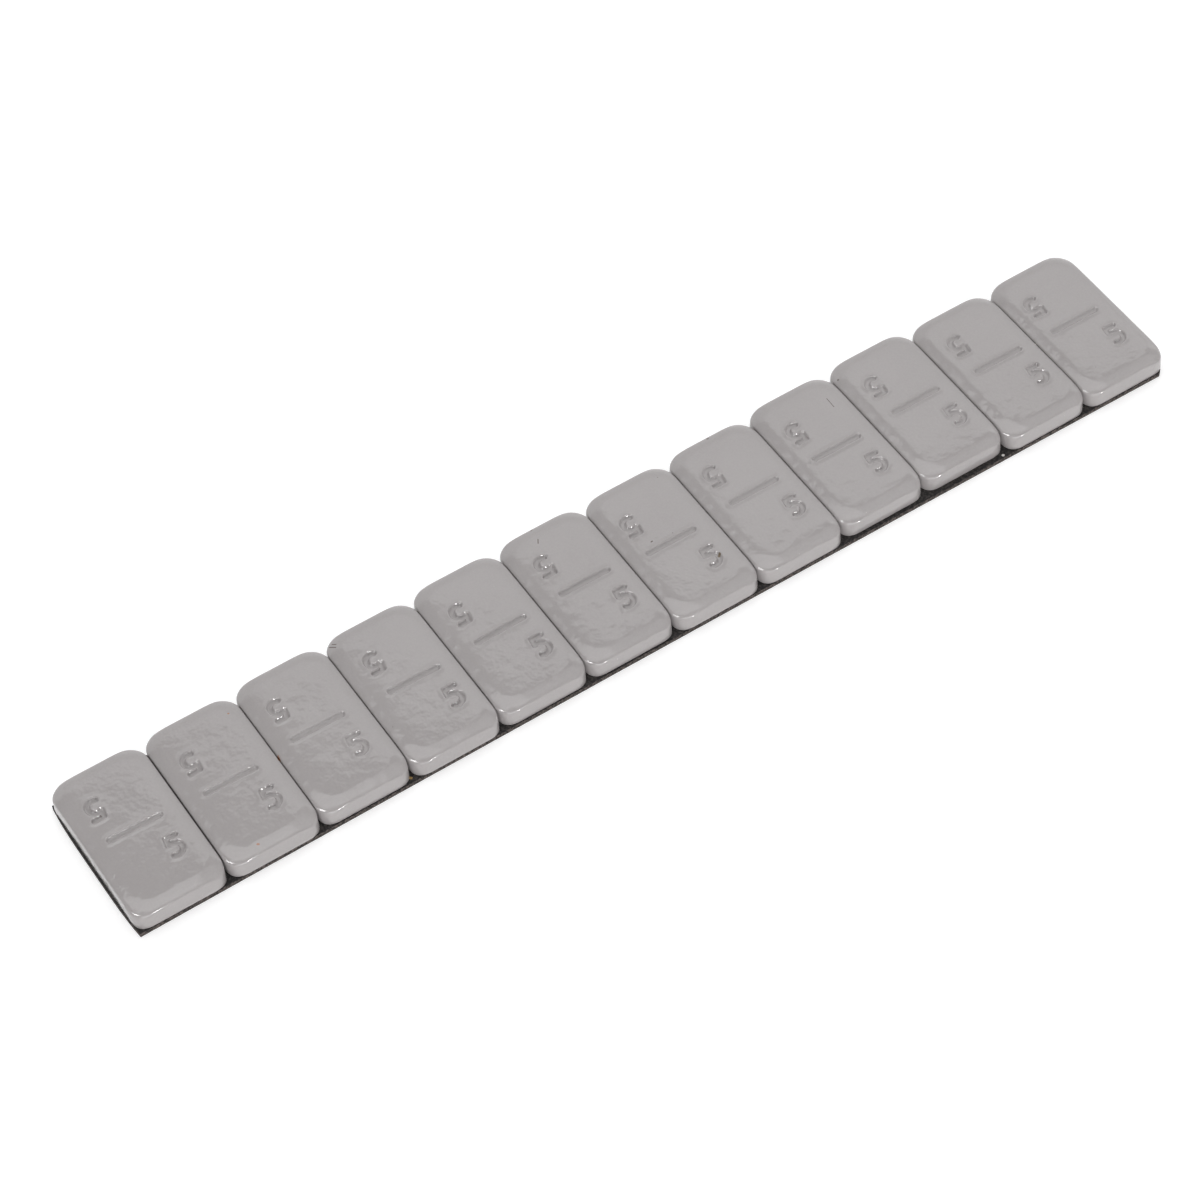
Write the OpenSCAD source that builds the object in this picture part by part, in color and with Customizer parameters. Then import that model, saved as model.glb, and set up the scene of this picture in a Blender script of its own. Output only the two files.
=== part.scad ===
// Stick-on wheel balance weight: a row of coated steel weights on one strip of adhesive foam tape.
// Lengths are in millimetres. X runs along the strip, Y across it, and Z is up.
// The origin is the middle of the strip's underside, where it meets the wheel.

/* [Strip] */
// Number of steel weights on the strip
weight_count = 12; // [2:1:24]
// Slit between one weight and the next
weight_slit = 0.1; // [0.05:0.05:0.8]

/* [Weight] */
// Size of one weight along the strip
weight_w = 11.5; // [9:0.1:16]
// Size of one weight across the strip
weight_len = 20.5; // [14:0.1:30]
// Height of one weight up to its flat top
weight_h = 2.8; // [1.8:0.05:6]
// Corner radius of a weight, seen from above
corner_r = 2.1; // [1.9:0.1:3.5]

/* [Rounded top] */
// Width of the shoulder between the flat top and the wall
shoulder_w = 1.5; // [0.8:0.05:1.8]
// How far the shoulder falls from the flat top, were it to reach the wall
shoulder_fall = 0.4; // [0.15:0.05:0.5]
// Radius of the rim between shoulder and wall
rim_r = 0.25; // [0.1:0.05:0.45]
// Radius under the foot of the wall
foot_r = 0.1; // [0.05:0.05:0.3]

/* [Stamped bar] */
// Length of the bar stamped across the middle of a weight
bar_len = 6.6; // [3:0.1:6.8]
// Width of the bar at the top face
bar_w = 0.7; // [0.4:0.05:1.2]
// Depth of the bar
bar_depth = 0.2; // [0.05:0.05:0.5]

/* [Foam tape] */
// How much shorter the tape is than a weight, at each end of the weight
tape_inset = 0.25; // [0:0.05:1.5]
// How far the tape lies towards the front of the row
tape_shift = 0.35; // [0:0.05:0.6]
// How far the tape stands out before the first weight
tape_lead = 0.25; // [0:0.05:1]
// Thickness of the foam with its two coats of glue
tape_t = 0.5; // [0.3:0.05:2]
// How far the last weight stands out past the end cut of the tape
end_cut = 0.6; // [0:0.05:2]
// Corner that the end cut took off the tape
snip = 0.5; // [0.1:0.05:1.5]

/* [Release liner] */
// Thickness of the film that covers the glue until the weight is used
liner_t = 0.1; // [0.05:0.01:0.3]

/* [Hidden] */
// How far each weight sits off the middle line of the tape, as it was pressed on
seat_shift = [-0.2, -0.2, 0, -0.15, 0.05, 0.1, -0.1, -0.1, 0.25, 0.35, -0.25, -0.35];
pitch = weight_w + weight_slit;
strip_len = weight_count * pitch - weight_slit;
part_len = tape_lead + strip_len;
tape_w = weight_len - 2 * tape_inset;
seat_z = liner_t + tape_t;
corner_x = weight_w / 2 - corner_r;
corner_y = weight_len / 2 - corner_r;
// The shoulder is an arc that starts level at the flat top
flat_r = corner_r - shoulder_w;
shoulder_r = (shoulder_w * shoulder_w + shoulder_fall * shoulder_fall) / (2 * shoulder_fall);
shoulder_z = weight_h - shoulder_r;
// The rim is an arc that lies inside the shoulder arc and touches it and the wall
rim_x = corner_r - rim_r;
rim_z = shoulder_z + sqrt(pow(shoulder_r - rim_r, 2) - pow(rim_x - flat_r, 2));
touch_x = flat_r + shoulder_r * (rim_x - flat_r) / (shoulder_r - rim_r);
// The bar is a trough with a round bottom and round ends
trough_r = (bar_w * bar_w / 4 + bar_depth * bar_depth) / (2 * bar_depth);
$fn = 96;

function weight_name(i) = str("weight_", i < 9 ? "0" : "", i + 1);
weight_names = [for (i = [0:weight_count - 1]) weight_name(i)];

// Half of the section through a weight's edge, from the corner's own axis out to the wall
module edge_section() {
    square([flat_r, weight_h]);
    translate([0, foot_r]) square([corner_r, rim_z - foot_r]);
    square([corner_r - foot_r, weight_h / 2]);
    translate([corner_r - foot_r, foot_r]) circle(r = foot_r);
    translate([rim_x, rim_z]) circle(r = rim_r);
    intersection() {
        translate([flat_r, shoulder_z]) circle(r = shoulder_r);
        square([touch_x, weight_h]);
    }
}

// Section across the whole weight, side to side
module across_section() {
    translate([-corner_x, 0]) square([2 * corner_x, weight_h]);
    translate([corner_x, 0]) edge_section();
    mirror([1, 0]) translate([corner_x, 0]) edge_section();
}

module weight_blank() {
    rotate([90, 0, 0]) linear_extrude(2 * corner_y, center = true) across_section();
    for (turn = [0, 180]) rotate(turn) {
        translate([0, corner_y, 0]) rotate([90, 0, 90])
            linear_extrude(2 * corner_x, center = true) edge_section();
        translate([corner_x, corner_y, 0]) rotate_extrude(angle = 90) edge_section();
        translate([-corner_x, corner_y, 0]) rotate(90) rotate_extrude(angle = 90) edge_section();
    }
}

module stamped_bar() {
    translate([0, 0, weight_h - bar_depth + trough_r]) {
        rotate([0, 90, 0]) cylinder(r = trough_r, h = bar_len - bar_w, center = true);
        for (side = [-1, 1]) translate([side * (bar_len - bar_w) / 2, 0, 0]) sphere(r = trough_r);
    }
}

module steel_weight(i) {
    shift = seat_shift[i % len(seat_shift)];
    color([0.67, 0.66, 0.65])
        translate([tape_lead - part_len / 2 + weight_w / 2 + i * pitch, shift, seat_z])
            difference() {
                weight_blank();
                stamped_bar();
            }
}

// Outline of tape and liner, which were cut together: square at one end, snipped at the other
module tape_outline() {
    x0 = -part_len / 2;
    x1 = part_len / 2 - end_cut;
    y0 = -tape_shift - tape_w / 2;
    y1 = -tape_shift + tape_w / 2;
    polygon([[x0, y0], [x1 - snip, y0], [x1, y0 + snip], [x1, y1], [x0, y1]]);
}

module foam_tape() {
    color([0.13, 0.12, 0.11])
        translate([0, 0, liner_t]) linear_extrude(tape_t) tape_outline();
}

module release_liner() {
    color([0.2, 0.17, 0.15]) linear_extrude(liner_t) tape_outline();
}

release_liner();
foam_tape();
for (i = [0:weight_count - 1])
    steel_weight(i);
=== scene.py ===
# %% [markdown]
# # A stick-on wheel balance weight
#
# Twelve small steel weights, pressed with a rounded top and coated light grey, sit side by side on one
# strip of black foam tape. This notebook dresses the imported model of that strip. Every length is in
# metres, and a value in millimetres is written as a number times `MM`.

# %% Load the frame
import math
from collections import Counter

import bpy
from mathutils import Matrix, Vector


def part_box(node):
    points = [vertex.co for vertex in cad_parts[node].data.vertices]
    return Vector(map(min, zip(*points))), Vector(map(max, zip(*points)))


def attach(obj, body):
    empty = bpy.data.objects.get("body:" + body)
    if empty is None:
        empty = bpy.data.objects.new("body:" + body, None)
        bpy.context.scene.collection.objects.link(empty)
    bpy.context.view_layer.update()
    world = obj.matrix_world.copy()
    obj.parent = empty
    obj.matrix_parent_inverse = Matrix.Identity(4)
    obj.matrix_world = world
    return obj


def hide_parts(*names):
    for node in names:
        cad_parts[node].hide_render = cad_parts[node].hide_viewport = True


MM = 0.001
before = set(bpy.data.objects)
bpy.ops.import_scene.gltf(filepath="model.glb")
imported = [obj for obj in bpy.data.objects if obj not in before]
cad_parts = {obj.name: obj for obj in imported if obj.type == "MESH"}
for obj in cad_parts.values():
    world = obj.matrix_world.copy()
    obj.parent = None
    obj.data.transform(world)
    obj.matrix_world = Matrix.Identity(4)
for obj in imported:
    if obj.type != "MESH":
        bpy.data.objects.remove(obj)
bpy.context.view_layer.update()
weights = sorted(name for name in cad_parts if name.startswith("weight_"))

# %% [markdown]
# ## The camera
#
# The photo looks down on the strip from its left front corner through a long lens, and the camera was
# held about three degrees off level. The eye and the angles come from matching the slits between the
# weights, whose spacing is known. `forward` follows from the two angles, and the roll then turns the
# picture about it.

# %% Place the camera
EYE = Vector((-131.7, -214.26, 326.71)) * MM
AZIMUTH = math.radians(30.83)
ELEVATION = math.radians(52.72)
ROLL = math.radians(3.14)
LENS_MM = 108.3


def add_camera():
    """The photo's camera: a 36 mm wide sensor behind a long lens."""
    data = bpy.data.cameras.new("camera")
    data.lens = LENS_MM
    data.clip_start = 0.01
    camera = bpy.data.objects.new("camera", data)
    bpy.context.collection.objects.link(camera)
    down_slope = math.cos(ELEVATION)
    forward = Vector((math.sin(AZIMUTH) * down_slope, math.cos(AZIMUTH) * down_slope, -math.sin(ELEVATION)))
    level_right = Vector((math.cos(AZIMUTH), -math.sin(AZIMUTH), 0.0))
    right = Matrix.Rotation(ROLL, 3, forward) @ level_right
    up = right.cross(forward)
    turn = Matrix((right, up, -forward)).transposed()
    camera.matrix_world = Matrix.Translation(EYE) @ turn.to_4x4()
    bpy.context.scene.camera = camera
    return camera


camera = add_camera()
print("camera looks along", [round(v, 4) for v in -camera.matrix_world.col[2].xyz])

# %% [markdown]
# ## Writing node trees as formulas
#
# Geometry Nodes and shaders share the same Math node, and a shape that follows a rule needs dozens of
# them. Clicking them together one by one reads badly in a script. So `Num` wraps a socket and turns
# Python's own operators into Math nodes: `(x - 2) * y` makes two nodes and links them.

# %% Numbers that take arithmetic
class Num:
    """A number in a node tree that ordinary arithmetic can be written with."""

    def __init__(self, tree, socket):
        self.tree = tree
        self.socket = socket

    def op(self, kind, *others):
        return self.tree.math(kind, self, *others)

    def __add__(self, other): return self.op("ADD", other)
    def __radd__(self, other): return self.op("ADD", other)
    def __sub__(self, other): return self.op("SUBTRACT", other)
    def __rsub__(self, other): return self.tree.math("SUBTRACT", other, self)
    def __mul__(self, other): return self.op("MULTIPLY", other)
    def __rmul__(self, other): return self.op("MULTIPLY", other)
    def __truediv__(self, other): return self.op("DIVIDE", other)
    def __rtruediv__(self, other): return self.tree.math("DIVIDE", other, self)
    def __neg__(self): return self.op("MULTIPLY", -1.0)
    def __abs__(self): return self.op("ABSOLUTE")


print("arithmetic ready")

# %% [markdown]
# ## Placing nodes
#
# Every tree below adds nodes, plugs values into them and needs a few kinds again and again: noise for
# whatever nature roughened, ramps for soft borders, and vectors taken apart and put together. `Tree` has
# one short call for each. It serves geometry and shaders alike, so both kinds of tree read the same.

# %% Short calls for nodes
class Tree:
    """A node tree with short calls for adding nodes and links."""

    def __init__(self, tree):
        self.tree = tree

    def plug(self, value, socket):
        """Links a socket, or sets a plain value."""
        if isinstance(value, Num):
            value = value.socket
        if isinstance(value, bpy.types.NodeSocket):
            self.tree.links.new(value, socket)
        elif value is not None:
            socket.default_value = value

    def add(self, kind, values=None, **settings):
        """Adds a node; values go to its inputs by name or number."""
        node = self.tree.nodes.new(kind)
        for name, value in settings.items():
            setattr(node, name, value)
        for name, value in (values or {}).items():
            self.plug(value, node.inputs[name])
        return node

    def math(self, kind, *values):
        node = self.add("ShaderNodeMath", dict(enumerate(values)), operation=kind)
        return Num(self, node.outputs[0])

    def clamp(self, value):
        """Keeps a value between 0 and 1."""
        return self.math("MINIMUM", self.math("MAXIMUM", value, 0.0), 1.0)

    def split(self, vector):
        node = self.add("ShaderNodeSeparateXYZ", {0: vector})
        return [Num(self, out) for out in node.outputs]

    def join(self, x, y, z):
        return self.add("ShaderNodeCombineXYZ", {0: x, 1: y, 2: z}).outputs[0]

    def vector(self, kind, *values):
        return self.add("ShaderNodeVectorMath", dict(enumerate(values)), operation=kind).outputs[0]

    def noise(self, where, scale, detail=2.0, roughness=0.5):
        """Smooth noise from 0 to 1 about a middle of 0.5; scale is how many waves fit in a metre."""
        values = {"Vector": where, "Scale": scale, "Detail": detail, "Roughness": roughness}
        return Num(self, self.add("ShaderNodeTexNoise", values).outputs["Fac"])

    def ramp(self, value, low, high, to_low=0.0, to_high=1.0):
        """Carries value from low..high to to_low..to_high, with soft ends."""
        values = {"Value": value, "From Min": low, "From Max": high, "To Min": to_low, "To Max": to_high}
        node = self.add("ShaderNodeMapRange", values, interpolation_type="SMOOTHSTEP")
        return Num(self, node.outputs["Result"])


print("node calls ready")

# %% [markdown]
# ## Groups with named inputs
#
# A size that is buried in a node is hard to find again. A group with named inputs shows its sizes on the
# outside, and each use of it can have its own. The kind of an input follows from its default value: a
# number, a whole number or a place.

# %% Node groups with named inputs
SOCKET = {float: "NodeSocketFloat", int: "NodeSocketInt", Vector: "NodeSocketVector"}


def new_group(name, kind, inputs, outputs):
    """Makes a node group; inputs and outputs are {name: default or socket type}."""
    group = bpy.data.node_groups.new(name, kind)
    for title, default in inputs.items():
        known = SOCKET.get(type(default))
        socket = group.interface.new_socket(title, in_out="INPUT", socket_type=known or default)
        if known:
            socket.default_value = default
    for title, socket_type in outputs.items():
        group.interface.new_socket(title, in_out="OUTPUT", socket_type=socket_type)
    tree = Tree(group)
    ins = tree.add("NodeGroupInput").outputs
    given = {title: ins[title] for title in inputs}
    for title, default in inputs.items():
        if isinstance(default, (int, float)):
            given[title] = Num(tree, ins[title])
    return tree, given, tree.add("NodeGroupOutput")


print("groups ready")

# %% [markdown]
# ## The coat
#
# The weights carry a warm light grey coat, glossy to satin. Under a lamp it shows orange peel, the fine
# ripple of a sprayed or tumbled coat, and dust that was caught in it: dark and pale specks, a few of
# them rusty. Here and there it has a scratch or a stain. Tape and liner need such effects too, so each
# is a node group of its own. Shaders can't be passed out of a group when the model is exported, so a
# group only gives numbers, and the material turns them into colour, roughness and bumps.

# %% Shared shader groups
# A speck or a mark is whole up to this share of its radius and then fades out
SOFT_RIM = 0.6
# Keeps a division from dividing by zero where a mark's two ends coincide, in square metres
NOT_ZERO = 1.0e-12


def make_specks():
    """Sparse round specks: Mask is 1 inside one, and Tone is a number that differs from speck to speck."""
    inputs = {"Vector": Vector(), "Cells": 700.0, "Share": 0.06, "Size": 0.12}
    outputs = {"Mask": "NodeSocketFloat", "Tone": "NodeSocketFloat"}
    tree, given, out = new_group("specks", "ShaderNodeTree", inputs, outputs)
    cell = tree.add("ShaderNodeTexVoronoi", {"Vector": given["Vector"], "Scale": given["Cells"]})
    lot, tone, reach = tree.split(cell.outputs["Color"])
    chosen = tree.math("LESS_THAN", lot, given["Share"])
    # From 0.4 to 1.2 times Size
    radius = given["Size"] * (reach * 0.8 + 0.4)
    spot = tree.ramp(Num(tree, cell.outputs["Distance"]), radius * SOFT_RIM, radius, 1.0, 0.0)
    tree.plug(chosen * spot, out.inputs["Mask"])
    tree.plug(tone, out.inputs["Tone"])
    return tree.tree


def make_ripple():
    """Height of a rippled surface, in metres: a long wave with a short one on top."""
    inputs = {"Vector": Vector(), "Long Wave": 0.0011, "Short Wave": 0.00035, "Depth": 0.000004}
    outputs = {"Height": "NodeSocketFloat"}
    tree, given, out = new_group("ripple", "ShaderNodeTree", inputs, outputs)
    slow = tree.noise(given["Vector"], 1.0 / given["Long Wave"], detail=2.0)
    fast = tree.noise(given["Vector"], 1.0 / given["Short Wave"], detail=0.0)
    # The short wave is a fifth as high as the long one
    tree.plug((slow + fast * 0.2) * given["Depth"], out.inputs["Height"])
    return tree.tree


def make_mark():
    """One mark on a surface: 1 within Reach of the line between two points. Rise 0 leaves height out."""
    inputs = {"Vector": Vector(), "Start": Vector(), "End": Vector(), "Reach": 0.0001, "Rise": 0.0}
    tree, given, out = new_group("mark", "ShaderNodeTree", inputs, {"Mask": "NodeSocketFloat"})
    way = tree.vector("SUBTRACT", given["End"], given["Start"])
    here = tree.vector("SUBTRACT", given["Vector"], given["Start"])
    here = tree.vector("MULTIPLY", here, tree.join(1.0, 1.0, given["Rise"]))

    def measure(kind, first, second):
        node = tree.add("ShaderNodeVectorMath", {0: first, 1: second}, operation=kind)
        return Num(tree, node.outputs["Value"])

    share = tree.clamp(measure("DOT_PRODUCT", here, way) / (measure("DOT_PRODUCT", way, way) + NOT_ZERO))
    nearest = tree.vector("MULTIPLY", way, tree.join(share, share, share))
    gap = measure("DISTANCE", here, nearest)
    # Fine noise makes the mark's edge ragged
    ragged = given["Reach"] * (tree.noise(given["Vector"], 6000.0) + 0.5)
    tree.plug(tree.ramp(gap, ragged * SOFT_RIM, ragged, 1.0, 0.0), out.inputs["Mask"])
    return tree.tree


SPECKS = make_specks()
RIPPLE = make_ripple()
MARK = make_mark()
print("shader groups:", SPECKS.name, RIPPLE.name, MARK.name)

# %% [markdown]
# ## Short calls for materials
#
# Every surface here is made the same way: one Principled shader, noise on the object's own coordinates
# so that the pattern stays with the object, and a few blends between plain colours. Short helpers keep
# that readable: they start a material, place a node group in it, blend two colours and name a colour.

# %% Helpers for materials
def new_material(name, roughness, specular=0.5):
    """A Principled material; gives its tree, its shader node and the place on the object."""
    material = bpy.data.materials.new(name)
    material.use_nodes = True
    tree = Tree(material.node_tree)
    shader = material.node_tree.nodes["Principled BSDF"]
    shader.inputs["Roughness"].default_value = roughness
    shader.inputs["Specular IOR Level"].default_value = specular
    where = tree.add("ShaderNodeTexCoord").outputs["Object"]
    return material, tree, shader, where


def use_group(tree, group, **values):
    """Places a node group in a material; a name's underscores stand for spaces."""
    node = tree.add("ShaderNodeGroup", node_tree=group)
    for name, value in values.items():
        tree.plug(value, node.inputs[name.replace("_", " ").title()])
    return {out.name: Num(tree, out) for out in node.outputs}


def blend(tree, amount, first, second):
    """A colour that goes from first to second as amount goes from 0 to 1."""
    node = tree.add("ShaderNodeMix", {"Factor": amount}, data_type="RGBA")
    tree.plug(first, node.inputs[6])
    tree.plug(second, node.inputs[7])
    return node.outputs[2]


def rgb(red, green, blue):
    """An opaque colour."""
    return (red, green, blue, 1.0)


print("material helpers ready")

# %% [markdown]
# ## Marks of handling
#
# Noise gives dust everywhere alike, but a scratch or a stain has its own place. Each mark is a line
# between two points, and whatever lies within reach of that line takes the mark's colour. A point mark
# is a very short line. The places are read off the photo: two scratches at a far corner, stains, a rusty
# spot in a slit, and a tan chip and a white crumb on the tape. A texture painted by hand would do the
# same, but would tie the part to an image file.

# %% Single marks
# How much of the colour below a mark hides
MARK_COVER = 0.85
# Start and end in mm, reach in mm, and colour. Marks on a wall or on the tape have a height as well.
COAT_MARKS = [
    ((-33.9, 9.2), (-33.45, 8.55), 0.08, (0.10, 0.07, 0.06)),
    ((-33.5, 9.3), (-33.2, 8.9), 0.07, (0.10, 0.07, 0.06)),
    ((-6.9, 7.9), (-6.6, 8.4), 0.07, (0.12, 0.09, 0.08)),
    ((32.6, 6.7), (32.55, 5.2), 0.06, (0.13, 0.11, 0.1)),
    ((3.8, 0.7), (3.95, 0.72), 0.1, (0.08, 0.05, 0.04)),
    ((9.05, -5.25), (9.25, -5.1), 0.2, (0.15, 0.11, 0.06)),
    ((-47.95, 7.4), (-47.9, 7.4), 0.12, (0.4, 0.2, 0.11)),
    ((-53.9, -9.4), (-53.8, -9.45), 0.16, (0.42, 0.2, 0.12)),
    ((-51.4, -10.6, 1.6), (-51.3, -10.6, 1.6), 0.13, (0.14, 0.07, 0.04)),
    ((-46.3, -0.9), (-46.2, -0.4), 0.15, (0.3, 0.13, 0.06)),
    ((58.0, -0.3), (58.1, -0.1), 0.12, (0.75, 0.72, 0.7)),
]
TAPE_MARKS = [
    ((-35.4, -9.2, 0.6), (-35.0, -9.75, 0.6), 0.22, (0.42, 0.27, 0.09)),
    ((45.75, -10.2, 0.6), (45.85, -10.2, 0.6), 0.18, (0.8, 0.78, 0.75)),
]


def add_marks(tree, where, colour, marks):
    """Lays every mark of a list over a colour."""
    for start, end, reach, tone in marks:
        rise = float(len(start) == 3)
        start, end = Vector(start).to_3d() * MM, Vector(end).to_3d() * MM
        mark = use_group(tree, MARK, vector=where, start=start, end=end, reach=reach * MM, rise=rise)
        colour = blend(tree, mark["Mask"] * MARK_COVER, colour, rgb(*tone))
    return colour


print("marks on the coat:", len(COAT_MARKS), "and on the tape:", len(TAPE_MARKS))

# %% [markdown]
# ## The coat's own material
#
# The coat is a paint, so it isn't metallic: it has a base colour and a clear reflection on top. The base
# drifts slowly between two greys and carries a fine grain. Pale mist, dust and rust are laid over it in
# that order, and the marks come last. The ripple only bends the reflection, so it goes in as a bump.

# %% The coat's material
def make_coat():
    """Glossy warm grey paint with grain, dust, rust and ripple."""
    material, tree, shader, where = new_material("grey_coat", 0.07)
    cloud = tree.noise(where, 90.0, detail=3.0)
    grey = blend(tree, tree.ramp(cloud, 0.3, 0.7), rgb(0.374, 0.352, 0.352), rgb(0.388, 0.366, 0.366))
    grain = tree.noise(where, 4200.0, detail=2.0)
    grey = blend(tree, tree.ramp(grain, 0.25, 0.75) * 0.35, grey, rgb(0.423, 0.401, 0.394))
    mist = use_group(tree, SPECKS, vector=where, cells=1250.0, share=0.16, size=0.09)
    grey = blend(tree, mist["Mask"] * mist["Tone"] * 0.75, grey, rgb(0.6, 0.57, 0.55))
    dust = use_group(tree, SPECKS, vector=where, cells=620.0, share=0.05, size=0.1)
    pale = tree.math("GREATER_THAN", dust["Tone"], 0.55)
    ash = blend(tree, pale, rgb(0.11, 0.09, 0.08), rgb(0.62, 0.6, 0.58))
    specked = blend(tree, dust["Mask"] * 0.7, grey, ash)
    rust = use_group(tree, SPECKS, vector=where, cells=260.0, share=0.035, size=0.045)
    rusty = blend(tree, rust["Mask"] * 0.75, specked, rgb(0.36, 0.17, 0.08))
    tree.plug(add_marks(tree, where, rusty, COAT_MARKS), shader.inputs["Base Color"])
    tree.plug(tree.ramp(cloud, 0.2, 0.8, 0.04, 0.07), shader.inputs["Roughness"])
    peel = use_group(tree, RIPPLE, vector=where, long_wave=0.0014, short_wave=0.00036, depth=0.000052)
    height = peel["Height"] + dust["Mask"] * (0.006 * MM)
    bump = tree.add("ShaderNodeBump", {"Height": height, "Strength": 1.0, "Distance": 1.0})
    tree.plug(bump.outputs["Normal"], shader.inputs["Normal"])
    return material


COAT = make_coat()
print("material:", COAT.name)

# %% [markdown]
# ## The tape and the liner
#
# The foam is brown-black and matt. Where the knife went through it, the edge is torn into fine cells,
# and its side faces are painted lighter and browner than the top, which is a skin of glue: painted
# light on the cut side. The liner below is a thin dark film with a low sheen.

# %% Materials of tape and liner
def make_foam():
    """Matt black foam: a skin of glue on top, and torn brown-black cells where it was cut, with painted light
    on that cut side.
    """
    material, tree, shader, where = new_material("black_foam", 0.75, specular=0.3)
    cells = tree.noise(where, 3000.0, detail=2.0, roughness=0.7)
    facing = tree.split(tree.add("ShaderNodeNewGeometry").outputs["Normal"])[2]
    # The side faces take the lighter colour: painted light on the cut side, over the torn cells
    cut = tree.ramp(abs(facing), 0.4, 0.8, 1.0, 0.0)
    torn_lit_side = blend(tree, tree.ramp(cells, 0.38, 0.64), rgb(0.012, 0.01, 0.009), rgb(0.115, 0.094, 0.085))
    glue = blend(tree, tree.ramp(cells, 0.42, 0.66), rgb(0.008, 0.007, 0.007), rgb(0.05, 0.044, 0.041))
    dust = use_group(tree, SPECKS, vector=where, cells=900.0, share=0.05, size=0.2)
    black = blend(tree, cut, glue, torn_lit_side)
    dusty = blend(tree, dust["Mask"] * 0.5, black, rgb(0.3, 0.25, 0.2))
    tree.plug(add_marks(tree, where, dusty, TAPE_MARKS), shader.inputs["Base Color"])
    tree.plug(tree.ramp(cut, 0.0, 1.0, 0.5, 0.9), shader.inputs["Roughness"])
    bump = tree.add("ShaderNodeBump", {"Height": cells * (0.06 * MM), "Strength": 0.8, "Distance": 1.0})
    tree.plug(bump.outputs["Normal"], shader.inputs["Normal"])
    return material


def make_film():
    """Thin dark film with a low sheen and a few wrinkles."""
    material, tree, shader, where = new_material("liner_film", 0.4, specular=0.4)
    cloud = tree.noise(where, 140.0, detail=2.0)
    brown = blend(tree, tree.ramp(cloud, 0.35, 0.65), rgb(0.05, 0.04, 0.034), rgb(0.075, 0.06, 0.05))
    dust = use_group(tree, SPECKS, vector=where, cells=500.0, share=0.05, size=0.1)
    tree.plug(blend(tree, dust["Mask"] * 0.4, brown, rgb(0.3, 0.28, 0.26)), shader.inputs["Base Color"])
    wrinkle = use_group(tree, RIPPLE, vector=where, long_wave=0.006, short_wave=0.0012, depth=0.00001)
    bump = tree.add("ShaderNodeBump", {"Height": wrinkle["Height"], "Strength": 1.0, "Distance": 1.0})
    tree.plug(bump.outputs["Normal"], shader.inputs["Normal"])
    return material


FOAM = make_foam()
FILM = make_film()
print("materials:", FOAM.name, "and", FILM.name)

# %% [markdown]
# ## One weight
#
# Twelve equal pieces that follow one rule are a job for Geometry Nodes. The tree starts from a flat
# grid. The middle of the grid becomes the flat of the weight. The rows outside it become rings, and
# each ring is laid a step further down the weight's edge: over the shoulder, round the rim, down the
# wall and under the foot. At a corner the rings fan out about the corner's own axis, so the mesh is
# made of even, four-sided faces everywhere, and a lamp's reflection runs over it without a kink.
#
# A subdivided cage with creases could give such a rim as well, but its corners would pinch and its sizes
# couldn't be typed in. The stamps come after the edge. First the bar and the number are drawn as centre
# lines.

# %% The stamped lines
def make_stamp_lines():
    """Centre lines of the bar and of a plain 5 in each half, as edges in the plane of the flat top."""
    inputs = {"Bar": 0.006, "Digit X": 0.00253, "Digit Y": 0.00441, "Digit Height": 0.00255}
    tree, given, out = new_group("stamp_lines", "GeometryNodeTree", inputs, {"Lines": "NodeSocketGeometry"})

    def line(start, end):
        return tree.add("GeometryNodeCurvePrimitiveLine", {"Start": start, "End": end}).outputs[0]

    # The digit is drawn two units high, about its own middle
    bowl = tree.add("GeometryNodeCurveArc", {"Resolution": 40, "Radius": 0.682}, mode="RADIUS")
    bowl.inputs["Start Angle"].default_value = math.radians(117)
    bowl.inputs["Sweep Angle"].default_value = math.radians(-237)
    placed = tree.add("GeometryNodeTransform", {0: bowl.outputs[0], "Translation": (-0.11, -0.318, 0.0)})
    digit = tree.add("GeometryNodeJoinGeometry")
    for piece in (line((0.55, 1.0, 0.0), (-0.32, 1.0, 0.0)), line((-0.32, 1.0, 0.0), (-0.41, 0.29, 0.0)),
                  placed.outputs[0]):
        tree.plug(piece, digit.inputs[0])
    half = given["Digit Height"] / 2.0
    scale = tree.join(half, half, half)
    all_lines = tree.add("GeometryNodeJoinGeometry")
    for side, turn in ((1.0, 0.0), (-1.0, math.pi)):
        where = tree.join(given["Digit X"] * side, given["Digit Y"] * -side, 0.0)
        values = {0: digit.outputs[0], "Translation": where, "Rotation": (0.0, 0.0, turn), "Scale": scale}
        tree.plug(tree.add("GeometryNodeTransform", values).outputs[0], all_lines.inputs[0])
    reach = given["Bar"] / 2.0
    tree.plug(line(tree.join(-reach, 0.0, 0.0), tree.join(reach, 0.0, 0.0)), all_lines.inputs[0])
    edges = tree.add("GeometryNodeCurveToMesh", {0: all_lines.outputs[0]})
    tree.plug(edges.outputs[0], out.inputs[0])
    return tree.tree


STAMP_LINES = make_stamp_lines()
print("stamp lines:", len(STAMP_LINES.nodes), "nodes")

# %% [markdown]
# ## Over the edge
#
# Seen from the side, a weight's edge is four pieces of line that touch without a kink: a wide arc for
# the shoulder, a small arc for the rim, the upright wall, and a tiny arc under the foot. The press
# rounds a corner more than a side, so the rim is wider there and the corner lies lower. Away from the
# edge the grid is only stretched: its steps are fine where the stamps are and coarse elsewhere.

# %% The edge, the spacing and the low corners
# How many rings of the grid go to the flat's own corner, the shoulder, the rim, the wall and the foot
EDGE_STEPS = (6, 7, 5, 3, 2)
RINGS = sum(EDGE_STEPS)
# Width in mm and number of steps of each band, from the middle outwards: fine where the stamps are
BANDS_X = [(1.5, 10), (2.15, 36)]
BANDS_Y = [(0.8, 14), (1.6, 9), (3.95, 66), (1.8, 9)]
# How much farther out a corner's rim stands, and how much more its wall adds
CORNER_RIM_OUT, CORNER_WALL_OUT = 0.04, 0.05


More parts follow.
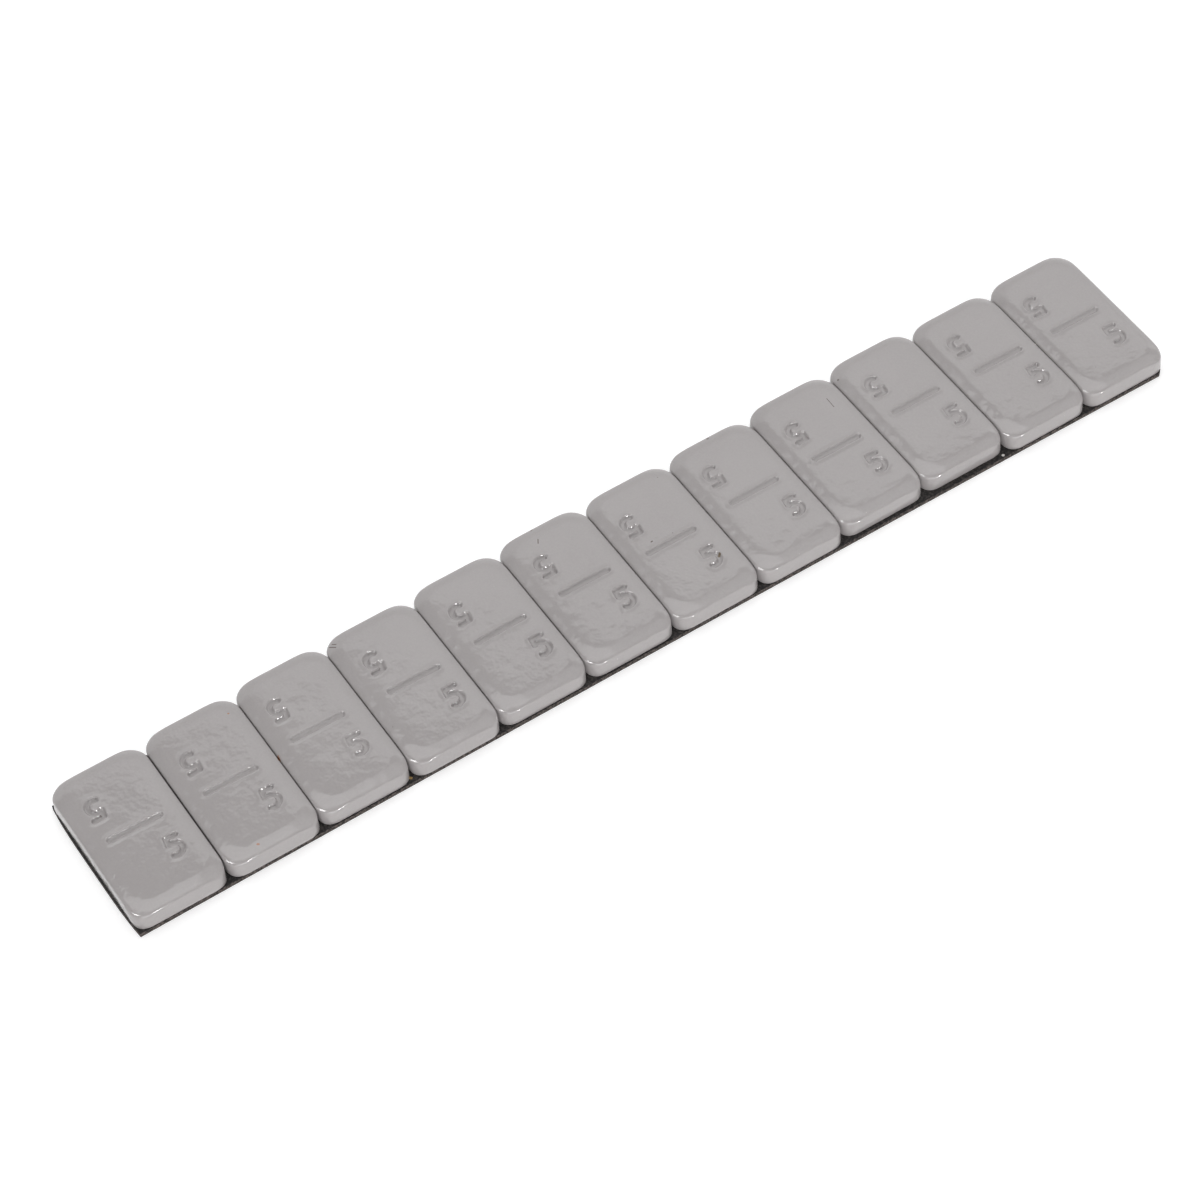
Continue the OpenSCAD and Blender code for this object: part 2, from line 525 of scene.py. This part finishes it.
def drape_over_edge(tree, given, ring, at_corner):
    """For a ring counted outwards: how far out it lies, its height, how far out the top alone reaches,
    and how much of the wall is still below it."""
    shares, first = [], 0
    for count in EDGE_STEPS:
        shares.append(tree.clamp((ring - first) / count))
        first += count
    flat, shoulder, rim, wall, foot = shares
    big, under = given["Shoulder Radius"], given["Foot Radius"]
    small = given["Rim Radius"] + at_corner * given["Corner Rim"]
    flat_w = given["Corner Radius"] - given["Shoulder Width"]
    rim_x = given["Corner Radius"] - small
    lean = tree.math("ARCSINE", (rim_x - flat_w) / (big - small))
    rim_z = given["Height"] - big + (big - small) * tree.math("COSINE", lean)
    turn = lean + (math.pi / 2 - lean) * rim
    tuck = math.pi / 2 * foot
    over_top = flat_w * flat + big * tree.math("SINE", lean * shoulder)
    out = over_top + small * (tree.math("SINE", turn) - tree.math("SINE", lean))
    out = out - under * (1.0 - tree.math("COSINE", tuck))
    down = big * (1.0 - tree.math("COSINE", lean * shoulder))
    down = down + small * (tree.math("COSINE", lean) - tree.math("COSINE", turn))
    down = down + (rim_z - under) * wall + under * tree.math("SINE", tuck)
    out = out * (1.0 + at_corner * (rim * CORNER_RIM_OUT + wall * CORNER_WALL_OUT))
    return out, given["Height"] - down, over_top, 1.0 - wall


def spread(tree, steps, bands):
    """Carries a signed count of grid steps to a place, band by band."""
    count, place, first = abs(steps), 0.0, 0
    for width, number in bands:
        place = tree.clamp((count - first) / number) * (width * MM) + place
        first += number
    return tree.math("SIGN", steps) * place


def pillow_drop(tree, given, x, y, over_top):
    """How much lower than its sides a weight's corner is: the press rounds the top with a wider radius."""
    wide, shoulder = given["Pillow Radius"], given["Shoulder Width"]
    far_x = tree.math("MAXIMUM", abs(x) - given["Width"] / 2 + wide, 0.0)
    far_y = tree.math("MAXIMUM", abs(y) - given["Length"] / 2 + wide, 0.0)
    far = tree.math("SQRT", far_x * far_x + far_y * far_y) - (wide - shoulder)
    side = over_top - (given["Corner Radius"] - shoulder)
    big = given["Shoulder Radius"]

    def fall(reach):
        reach = tree.math("MAXIMUM", reach, 0.0)
        return big - tree.math("SQRT", big * big - reach * reach)

    return fall(far) - fall(side)


print("rings from the flat to the foot:", RINGS)

# %% [markdown]
# ## Stamps and underside
#
# The distance from each point to the nearest centre line is measured, and a point that is close to one
# is pushed down. A little metal rises beside a stamp, as it does under a real punch. A real punch is
# never set twice in quite the same place, so each piece has its own shift, turn and depth. Cutting the
# lines out with a boolean would give hard edges that a coat would never leave.
#
# The underside is flat and nobody sees it, so it is one face, welded on along the foot.

# %% Press the stamps and close the underside
# Points that lie closer together than this are welded into one
WELD = 0.002 * MM
# A stamp's floor is flat and its sides steep: the power of its profile, and how soft its rim is
STAMP_POWER, STAMP_SOFT = 4.2, 0.08
# The bar's width and depth beside the number's
BAR_WIDTH, BAR_DEPTH = 1.1, 0.78
# The top sinks towards its sides and its ends: the power of each fall, and the ends' share of it
DOME_SIDES, DOME_ENDS, DOME_END_SHARE = 4.0, 6.0, 0.45
# Below this height these moves fade out, down to none at the foot
FADE_TOP = 1.5 * MM


def press_stamps(tree, given, here):
    """How far each point moves up or down for the stamps and for the slight dome of the top."""
    lines = tree.add("GeometryNodeGroup", {"Bar": given["Bar Length"] - given["Stamp Width"]},
                     node_tree=STAMP_LINES)
    shift_x, shift_y, turn = tree.split(given["Stamp Shift"])
    # The lines wander a little, as they do where a worn punch meets a rough piece
    slow = (tree.noise(tree.join(here[0], here[1], given["Seed"]), 900.0) - 0.5) * (0.06 * MM)
    along = tree.join(here[0], here[1] * 0.3, given["Seed"])
    wobble = (tree.noise(along, 3600.0, detail=0.0) - 0.5) * (0.05 * MM) + slow
    stamp_x = here[0] - shift_x + turn * here[1] + slow
    stamp_y = here[1] - shift_y - turn * here[0] + wobble
    flat_point = tree.join(stamp_x, stamp_y, 0.0)
    near = tree.add("GeometryNodeProximity", {0: lines.outputs[0], "Sample Position": flat_point},
                    target_element="EDGES")
    gap = Num(tree, near.outputs["Distance"])
    # The bar is a little wider and less deep than the numbers
    off_bar = tree.ramp(abs(stamp_y), 0.8 * MM, 1.1 * MM, 0.0, 1.0)
    half = given["Stamp Width"] / 2 * (BAR_WIDTH - off_bar * (BAR_WIDTH - 1.0))
    depth = given["Stamp Depth"] * (BAR_DEPTH + off_bar * (1.0 - BAR_DEPTH))
    share = gap / half
    sunk = tree.math("SMOOTH_MAX", 1.0 - tree.math("POWER", share, STAMP_POWER), 0.0, STAMP_SOFT) * depth
    lip = tree.ramp(share, 1.0, 1.3, 0.0, 1.0) * tree.ramp(share, 1.3, 2.4, 1.0, 0.0)
    sides = tree.math("POWER", abs(here[0]) / (given["Width"] / 2), DOME_SIDES)
    ends = tree.math("POWER", abs(here[1]) / (given["Length"] / 2), DOME_ENDS)
    dome = (sides + ends * DOME_END_SHARE) * given["Dome"]
    return lip * given["Lip"] - sunk - dome


def open_loops(tree, shell):
    """The edges that have only one face, as closed curves."""
    edge_use = tree.add("GeometryNodeInputMeshEdgeNeighbors").outputs[0]
    open_edge = tree.add("FunctionNodeCompare", {2: edge_use, 3: 1}, data_type="INT", operation="EQUAL")
    return tree.add("GeometryNodeMeshToCurve", {0: shell.outputs[0], "Selection": open_edge.outputs[0]})


def close_underside(tree, shell):
    """Fills the open loop at the foot with one face that looks down, and welds it on."""
    loop = open_loops(tree, shell)
    under = tree.add("GeometryNodeFillCurve", {0: loop.outputs[0]}, mode="NGONS")
    turned = tree.add("GeometryNodeFlipFaces", {0: under.outputs[0]})
    whole = tree.add("GeometryNodeJoinGeometry")
    tree.plug(turned.outputs[0], whole.inputs[0])
    tree.plug(shell.outputs[0], whole.inputs[0])
    return tree.add("GeometryNodeMergeByDistance", {0: whole.outputs[0], "Distance": WELD})


print("stamp and underside helpers ready")

# %% [markdown]
# ## The weight's own tree
#
# The tree ties the steps together: count the grid's rings, drape them over the edge, lower the corners,
# press the stamps, add a slow swell that no two pieces share, close the underside and put the piece in
# its place. Seen from above, the bands and the corner radius make a piece's size. Width and Length only
# say where the top's falls are reckoned from. Each other size is a named input.

# %% The tree of one weight
def make_weight_tree():
    """One coated weight, with its foot on the plane of Place."""
    inputs = {
        "Width": 0.0115, "Length": 0.0205, "Height": 0.0028, "Corner Radius": 0.0021,
        "Shoulder Width": 0.0015, "Shoulder Radius": 0.003, "Rim Radius": 0.00028, "Corner Rim": 0.0003,
        "Foot Radius": 0.00006, "Bar Length": 0.00675, "Stamp Width": 0.00074, "Stamp Depth": 0.00029,
        "Lip": 0.000035, "Dome": 0.00022, "Pillow Radius": 0.0034, "Stamp Shift": Vector(), "Seed": 1,
        "Place": Vector(), "Coat": "NodeSocketMaterial",
    }
    tree, given, out = new_group("coated_weight", "GeometryNodeTree", inputs, {"Weight": "NodeSocketGeometry"})
    half_x, half_y = (sum(number for width, number in bands) for bands in (BANDS_X, BANDS_Y))
    size_x, size_y = 2 * (half_x + RINGS), 2 * (half_y + RINGS)
    values = {"Size X": size_x, "Size Y": size_y, "Vertices X": size_x + 1, "Vertices Y": size_y + 1}
    grid = tree.add("GeometryNodeMeshGrid", values).outputs["Mesh"]

    # Where a point is on the grid, counted in steps, and how many steps it is outside the middle
    gx, gy, _ = tree.split(tree.add("GeometryNodeInputPosition").outputs[0])
    out_x = tree.math("MAXIMUM", abs(gx) - half_x, 0.0)
    out_y = tree.math("MAXIMUM", abs(gy) - half_y, 0.0)
    ring = tree.math("MAXIMUM", out_x, out_y)
    slant = tree.math("MINIMUM", out_x, out_y) / tree.math("MAXIMUM", ring, 0.001) * (math.pi / 4)
    towards_y = tree.math("GREATER_THAN", out_y, out_x)
    angle = slant + towards_y * (math.pi / 2 - slant * 2)
    at_corner = tree.math("POWER", tree.math("SINE", angle * 2.0), 2.0)
    reach, height, over_top, above_foot = drape_over_edge(tree, given, ring, at_corner)
    mid_x, mid_y = spread(tree, gx, BANDS_X), spread(tree, gy, BANDS_Y)
    along_x = tree.math("SIGN", gx) * tree.math("COSINE", angle)
    along_y = tree.math("SIGN", gy) * tree.math("SINE", angle)
    x, y = mid_x + along_x * reach, mid_y + along_y * reach
    drop = pillow_drop(tree, given, mid_x + along_x * over_top, mid_y + along_y * over_top, over_top)
    height = height - drop * above_foot
    blank = tree.add("GeometryNodeSetPosition", {0: grid, "Position": tree.join(x, y, height)}).outputs[0]

    # The foot stays on the tape: what moves the top fades out down the wall
    here = tree.split(tree.add("GeometryNodeInputPosition").outputs[0])
    on_top = tree.ramp(here[2], 0.0, FADE_TOP)
    push = press_stamps(tree, given, here) * on_top

    # The coat never lies quite flat: a slow swell over the whole piece
    spot = tree.join(here[0], here[1], here[2] + given["Seed"] * 0.01)
    swell = (tree.noise(spot, 260.0, detail=1.0) - 0.5) * (0.03 * MM) * on_top
    moved = tree.add("GeometryNodeSetPosition", {0: blank, "Offset": tree.join(0.0, 0.0, push + swell)})

    welded = close_underside(tree, moved)
    placed = tree.add("GeometryNodeTransform", {0: welded.outputs[0], "Translation": given["Place"]})
    whole = tree.add("GeometryNodeRealizeInstances", {0: placed.outputs[0]})
    smooth = tree.add("GeometryNodeSetShadeSmooth", {0: whole.outputs[0]})
    coated = tree.add("GeometryNodeSetMaterial", {0: smooth.outputs[0], "Material": given["Coat"]})
    tree.plug(coated.outputs[0], out.inputs[0])
    return tree.tree


WEIGHT_TREE = make_weight_tree()
print("weight tree:", len(WEIGHT_TREE.nodes), "nodes")

# %% [markdown]
# ## From tree to plain mesh
#
# A modifier's inputs are set by each socket's identifier, because two sockets may share a name. The
# evaluated result is then copied into a plain mesh, and the object that carried the modifier goes away.
# Nothing after this cell depends on a live tree.

# %% Run a tree once and keep its mesh
def grow(name, tree, **values):
    """Evaluates a tree with the given inputs and returns a plain mesh object."""
    seed_mesh = bpy.data.meshes.new(name + "_seed")
    carrier = bpy.data.objects.new(name + "_seed", seed_mesh)
    bpy.context.collection.objects.link(carrier)
    modifier = carrier.modifiers.new("tree", "NODES")
    modifier.node_group = tree
    for item in tree.interface.items_tree:
        key = item.name.replace(" ", "_").lower()
        if item.in_out == "INPUT" and key in values:
            modifier[item.identifier] = values.pop(key)
    assert not values, f"{name}: no inputs named {sorted(values)}"
    evaluated = carrier.evaluated_get(bpy.context.evaluated_depsgraph_get())
    mesh = bpy.data.meshes.new_from_object(evaluated)
    carrier.modifiers.remove(modifier)
    bpy.data.objects.remove(carrier)
    mesh.name = name
    piece = bpy.data.objects.new(name, mesh)
    bpy.context.collection.objects.link(piece)
    return piece


print("ready to grow pieces")

# %% [markdown]
# ## The twelve pieces
#
# A piece takes its height and place from its node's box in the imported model. The top's falls are
# reckoned from a hair past the box, and farther past it on the first piece's free side, which also moves
# that piece 0.06 mm outwards and the last one 0.015 mm inwards. The shift, the turn and the depth of
# each stamp are read off the photo, piece by piece.

# %% Make the twelve weights
SHOULDER_W = 1.5 * MM
SHOULDER_FALL = 0.33 * MM
# How far past the box the falls are reckoned from: between two pieces, and at the row's first and last side
PAST_BOX, PAST_FIRST, PAST_LAST = 0.03 * MM, 0.15 * MM, 0.0
# A deeper stamp is wider at the top: its width in mm with no depth, and what a mm of depth adds
STAMP_W, STAMP_SPREAD = 0.59, 0.48
# How each piece was stamped: offset along X and Y in mm, turn in degrees, and depth in mm
STAMPS = [
    (-0.10, 0.22, -1.4, 0.32), (-0.10, -0.34, -0.9, 0.31), (-0.26, 0.19, -1.3, 0.27), (0.28, -0.15, -0.9, 0.35),
    (0.27, -0.04, 0.7, 0.34), (0.13, 0.18, -0.4, 0.34), (-0.21, -0.37, 0.0, 0.29), (0.13, 0.30, 0.1, 0.26),
    (0.08, -0.22, 0.1, 0.28), (0.20, 0.21, 0.2, 0.25), (0.31, 0.30, -0.4, 0.26), (-0.11, 0.14, 0.0, 0.25),
]


def add_weight(node, number, stamp):
    """Grows one weight where its node is, and takes the node's place with it."""
    low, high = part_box(node)
    low.x -= PAST_FIRST if number == 1 else PAST_BOX
    high.x += PAST_LAST if number == len(weights) else PAST_BOX
    size = high - low
    centre = (low + high) / 2
    shift_x, shift_y, turn, depth = stamp
    piece = grow(
        node + "_coated", WEIGHT_TREE, width=size.x, length=size.y, height=size.z,
        shoulder_width=SHOULDER_W,
        shoulder_radius=(SHOULDER_W ** 2 + SHOULDER_FALL ** 2) / (2 * SHOULDER_FALL),
        stamp_shift=(shift_x * MM, shift_y * MM, math.radians(turn)),
        stamp_depth=depth * MM, stamp_width=(STAMP_W + depth * STAMP_SPREAD) * MM,
        seed=number, place=(centre.x, centre.y, low.z), coat=COAT,
    )
    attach(piece, "root")
    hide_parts(node)
    return piece


pieces = [add_weight(node, number, stamp) for number, (node, stamp) in enumerate(zip(weights, STAMPS), 1)]
faces = sum(len(piece.data.polygons) for piece in pieces)
uses = Counter(edge for face in pieces[0].data.polygons for edge in face.edge_keys)
print("weights:", len(pieces), "faces:", faces, "open edges in the first:", list(uses.values()).count(1))

# %% [markdown]
# ## Tape and liner
#
# The tape and its liner were cut from a roll with a knife, so both follow one rule: a long slab with a
# rough side all round. A plain box would do from afar, but up close its clean edges would look like
# plastic. The tree bends a grid into a wall. Its long direction runs round the outline, and
# the arithmetic behind that is a clamp for each side of the rectangle. The wall is then roughened, bowed
# as the real tape is, and closed with one face on top and one below.

# %% The tree of a strip cut with a knife
# How far in from its end the strip bulges, and how much of the bulge is at its corners
BULGE_REACH, BULGE_POWER = 1.5 * MM, 4.0
# Waves of the rough cut in a metre, and how much slower they change up the wall than along it
CUT_WAVES, CUT_STRETCH = 1500.0, 0.4


def make_cut_strip_tree():
    """A slab with a rough wall all round, one end snipped and the other bulging."""
    inputs = {
        "Low": Vector(), "High": Vector(), "Step": 0.000125, "Layers": 5, "Snip": 0.0005,
        "Bow": 0.0, "Bow Middle": -0.015, "End Bulge": 0.0003, "Rough": 0.00005, "Seed": 1,
        "Skin": "NodeSocketMaterial",
    }
    tree, given, out = new_group("cut_strip", "GeometryNodeTree", inputs, {"Strip": "NodeSocketGeometry"})
    low_x, low_y, low_z = tree.split(given["Low"])
    high_x, high_y, high_z = tree.split(given["High"])
    long_side, short_side = high_x - low_x, high_y - low_y
    steps_long = tree.math("ROUND", long_side / given["Step"])
    steps_short = tree.math("ROUND", short_side / given["Step"])
    around = (steps_long + steps_short) * 2
    layers = given["Layers"]
    values = {"Size X": around, "Size Y": layers, "Vertices X": around + 1, "Vertices Y": layers + 1}
    wall = tree.add("GeometryNodeMeshGrid", values).outputs["Mesh"]
    gx, gy, _ = tree.split(tree.add("GeometryNodeInputPosition").outputs[0])
    walk = gx + around / 2
    rise = gy / layers + 0.5

    def leg(start, length):
        return tree.clamp((walk - start) / length)

    share_x = leg(0.0, steps_long) - leg(steps_long + steps_short, steps_long)
    share_y = leg(steps_long, steps_short) - leg(steps_long * 2 + steps_short, steps_short)
    x, y = low_x + share_x * long_side, low_y + share_y * short_side
    z = low_z + rise * (high_z - low_z)

    # The knife took the near corner off one end, and the other end bulges
    x = tree.math("MINIMUM", x, high_x - given["Snip"] + (y - low_y))
    middle_y = (y - (low_y + high_y) / 2) / (short_side / 2)
    at_end = tree.ramp(x - low_x, 0.0, BULGE_REACH, 1.0, 0.0)
    x = x + given["End Bulge"] * tree.math("POWER", abs(middle_y), BULGE_POWER) * at_end

    # The whole strip bows a little, and the cut is rough
    from_middle = x - given["Bow Middle"]
    y = y - given["Bow"] * from_middle * from_middle
    spot = tree.join(x, y, z * CUT_STRETCH + given["Seed"] * 0.1)
    values = {"Vector": spot, "Scale": CUT_WAVES, "Detail": 3.0, "Roughness": 0.65}
    fine = tree.add("ShaderNodeTexNoise", values)
    ragged = tree.vector("SUBTRACT", fine.outputs["Color"], (0.5, 0.5, 0.5))
    ragged = tree.vector("MULTIPLY", ragged, tree.join(given["Rough"] * 2, given["Rough"] * 2, 0.0))
    place = tree.vector("ADD", tree.join(x, y, z), ragged)
    shaped = tree.add("GeometryNodeSetPosition", {0: wall, "Position": place})
    seamless = tree.add("GeometryNodeMergeByDistance", {0: shaped.outputs[0], "Distance": WELD * 2})

    # A face above and a face below, made from the two open loops
    loops = open_loops(tree, seamless)
    height = tree.split(tree.add("GeometryNodeInputPosition").outputs[0])[2]
    shell = tree.add("GeometryNodeJoinGeometry")
    tree.plug(seamless.outputs[0], shell.inputs[0])
    for upper in (True, False):
        test = tree.math("LESS_THAN" if upper else "GREATER_THAN", height, (low_z + high_z) / 2)
        loop = tree.add("GeometryNodeDeleteGeometry", {0: loops.outputs[0], "Selection": test}, domain="POINT")
        face = tree.add("GeometryNodeFillCurve", {0: loop.outputs[0]}, mode="NGONS").outputs[0]
        level = tree.join(0.0, 0.0, high_z if upper else low_z)
        face = tree.add("GeometryNodeTransform", {0: face, "Translation": level})
        face = face.outputs[0] if upper else tree.add("GeometryNodeFlipFaces", {0: face.outputs[0]}).outputs[0]
        tree.plug(face, shell.inputs[0])
    welded = tree.add("GeometryNodeMergeByDistance", {0: shell.outputs[0], "Distance": WELD})
    whole = tree.add("GeometryNodeRealizeInstances", {0: welded.outputs[0]})
    skinned = tree.add("GeometryNodeSetMaterial", {0: whole.outputs[0], "Material": given["Skin"]})
    tree.plug(skinned.outputs[0], out.inputs[0])
    return tree.tree


CUT_STRIP_TREE = make_cut_strip_tree()
print("cut strip tree:", len(CUT_STRIP_TREE.nodes), "nodes")

# %% [markdown]
# ## Tape on liner
#
# Both strips come out of the one tree. They were cut together, so they bow by the same amount, but the
# foam tears more roughly than the film, and the film is thin enough for a single row of faces.

# %% Cut the tape and the liner
# How much the strips bow: the offset across, in metres, at one metre from the bow's middle
BOW = 0.053


def add_cut_strip(node, slot, material, **values):
    """Cuts one strip to its node's box, and takes the node's place with it."""
    low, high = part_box(node)
    strip = grow(node + "_cut", CUT_STRIP_TREE, low=low, high=high, bow=BOW, skin=material, **values)
    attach(strip, "root")
    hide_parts(node)
    box = [Vector(corner) for corner in strip.bound_box]
    print(node, "faces:", len(strip.data.polygons), "from", box[0] / MM, "to", box[6] / MM)
    return strip


add_cut_strip("foam_tape", "foam_tape", FOAM, rough=0.05 * MM, seed=3)
add_cut_strip("release_liner", "liner_film", FILM, rough=0.02 * MM, layers=1, seed=8)

# %% [markdown]
# ## The table
#
# The strip lies on a white table. The table shines just enough to look white to the camera, in
# reflections and through glass, while its diffuse part keeps the soft shadow round the strip. To the
# light that falls back on the strip it is a plain pale surface.

# %% Lay the table
# How bright the table shines by itself where it is seen
TABLE_GLOW = 0.5
# The table's grey for the light that falls back on the strip, and where it is seen
TABLE_PALE, TABLE_SEEN = rgb(0.96, 0.96, 0.96), rgb(0.66, 0.66, 0.66)
WHITE = rgb(1.0, 1.0, 1.0)


def add_floor():
    """A very wide white plane under the strip, marked as stage."""
    far = 20.0
    mesh = bpy.data.meshes.new("floor")
    corners = [(-far, -far, 0.0), (far, -far, 0.0), (far, far, 0.0), (-far, far, 0.0)]
    mesh.from_pydata(corners, [], [(0, 1, 2, 3)])
    floor = bpy.data.objects.new("floor", mesh)
    bpy.context.collection.objects.link(floor)
    material, tree, shader, _ = new_material("white_table", 0.9, specular=0.0)
    path = tree.add("ShaderNodeLightPath").outputs
    seen = tree.math("MAXIMUM", path["Is Camera Ray"], path["Is Glossy Ray"])
    seen = tree.math("MAXIMUM", seen, path["Is Transmission Ray"])
    tree.plug(seen * TABLE_GLOW, shader.inputs["Emission Strength"])
    shader.inputs["Emission Color"].default_value = WHITE
    tree.plug(blend(tree, seen, TABLE_PALE, TABLE_SEEN), shader.inputs["Base Color"])
    mesh.materials.append(material)


add_floor()
print("table ready")

# %% [markdown]
# ## Two lamps for the glints
#
# The bright spots on the rims and in the stamps are mirrored lamps. From where a spot sits on a rounded
# corner, and where the camera is, follows where its lamp stands: one high on the left and one low in
# front. They are only there to be mirrored. The soft light on the coat comes from the sky, so both are
# hidden from diffuse rays.

# %% Hang the lamps
# Name, place, width, height and radiance
LAMPS = [
    ("key", (-1.96, -0.46, 1.31), 0.8, 0.75, 19.0),
    ("window", (-0.08, -2.35, 0.46), 0.5, 0.5, 60.0),
]


def add_softbox(name, place, width, height, radiance):
    """A flat lamp that faces the strip and is as bright to look at as radiance says."""
    data = bpy.data.lights.new(name, "AREA")
    data.shape = "RECTANGLE"
    data.size, data.size_y = width, height
    data.energy = radiance * math.pi * width * height
    lamp = bpy.data.objects.new(name, data)
    bpy.context.collection.objects.link(lamp)
    lamp.location = place
    lamp.rotation_euler = (-place).to_track_quat("-Z", "Y").to_euler()
    return lamp


for name, place, width, height, radiance in LAMPS:
    add_softbox(name, Vector(place), width, height, radiance).visible_diffuse = False
print("lamps:", len(LAMPS))

# %% [markdown]
# ## The studio that the coat mirrors
#
# A glossy coat looks like its surroundings. The photo's weights mirror a bright field at the back, a dark
# gap, a wide soft lamp overhead and a bright wall in front, and the straight edges between those fields
# are what draws the shoulders. A sky can hold the same fields without any objects: `u` and `v` say where
# a direction meets a ceiling one metre up, and each field is a patch of that ceiling or of the wall
# below it. The fields' strengths are also balanced so that light falls on the strip evenly.

# %% Set the sky
# Strength of each field, and of the dim light between them
OVERHEAD, BACK, FRONT, RIGHT, BETWEEN = 1.85, 1.42, 4.9, 0.3, 0.17


def set_sky():
    """The studio as the coat mirrors it: a sky whose bright and dark fields are set by direction."""
    world = bpy.data.worlds.new("studio")
    bpy.context.scene.world = world
    world.use_nodes = True
    tree = Tree(world.node_tree)
    direction = tree.add("ShaderNodeTexCoord").outputs["Generated"]
    x, y, z = tree.split(direction)
    up = tree.math("MAXIMUM", z, 0.02)
    u, v = x / up, y / up
    # The overhead lamp hangs a little askew, so its near and far edges run slantwise
    far = u * 0.25 + v

    def band(value, low, high, soft):
        """1 between low and high, with soft ends."""
        return tree.ramp(value, low - soft, low + soft) * tree.ramp(value, high - soft, high + soft, 1.0, 0.0)

    # A wide lamp overhead, dimmer on its right side
    overhead = (band(u, -0.7, 0.27, 0.03) + band(u, 0.27, 1.5, 0.03) * 0.35) * band(far, -0.3, 0.53, 0.012)
    # A field at the back with a slanting edge, which fades towards the horizon
    back = tree.ramp(u + v, 0.908, 0.922) * tree.ramp(v, 0.545, 0.555) * tree.ramp(v, 0.68, 1.1, 1.0, 0.68)
    # A faint field low on the right, and a bright wall low in front
    right = tree.ramp(x, 0.2, 0.4) * band(z, 0.1, 0.6, 0.04) * tree.math("LESS_THAN", y, 0.3)
    near_side = tree.math("LESS_THAN", y, 0.0)
    front = band(x, -0.75, 0.16, 0.03) * band(z, 0.05, 0.4, 0.04) * near_side
    light = overhead * OVERHEAD + back * BACK + front * FRONT + right * RIGHT + BETWEEN
    # Nothing shines from below the table
    light = light * tree.ramp(z, -0.02, 0.02)
    # What stands behind the table is white to look at, and the coat goes on mirroring the studio
    path = tree.add("ShaderNodeLightPath").outputs
    seen = tree.math("MAXIMUM", path["Is Camera Ray"], path["Is Transmission Ray"])
    light = light * (1.0 - seen) + seen
    sky = world.node_tree.nodes["Background"]
    sky.inputs["Color"].default_value = WHITE
    tree.plug(light, sky.inputs["Strength"])


set_sky()
bpy.context.scene.view_settings.view_transform = "Standard"
print("sky ready")
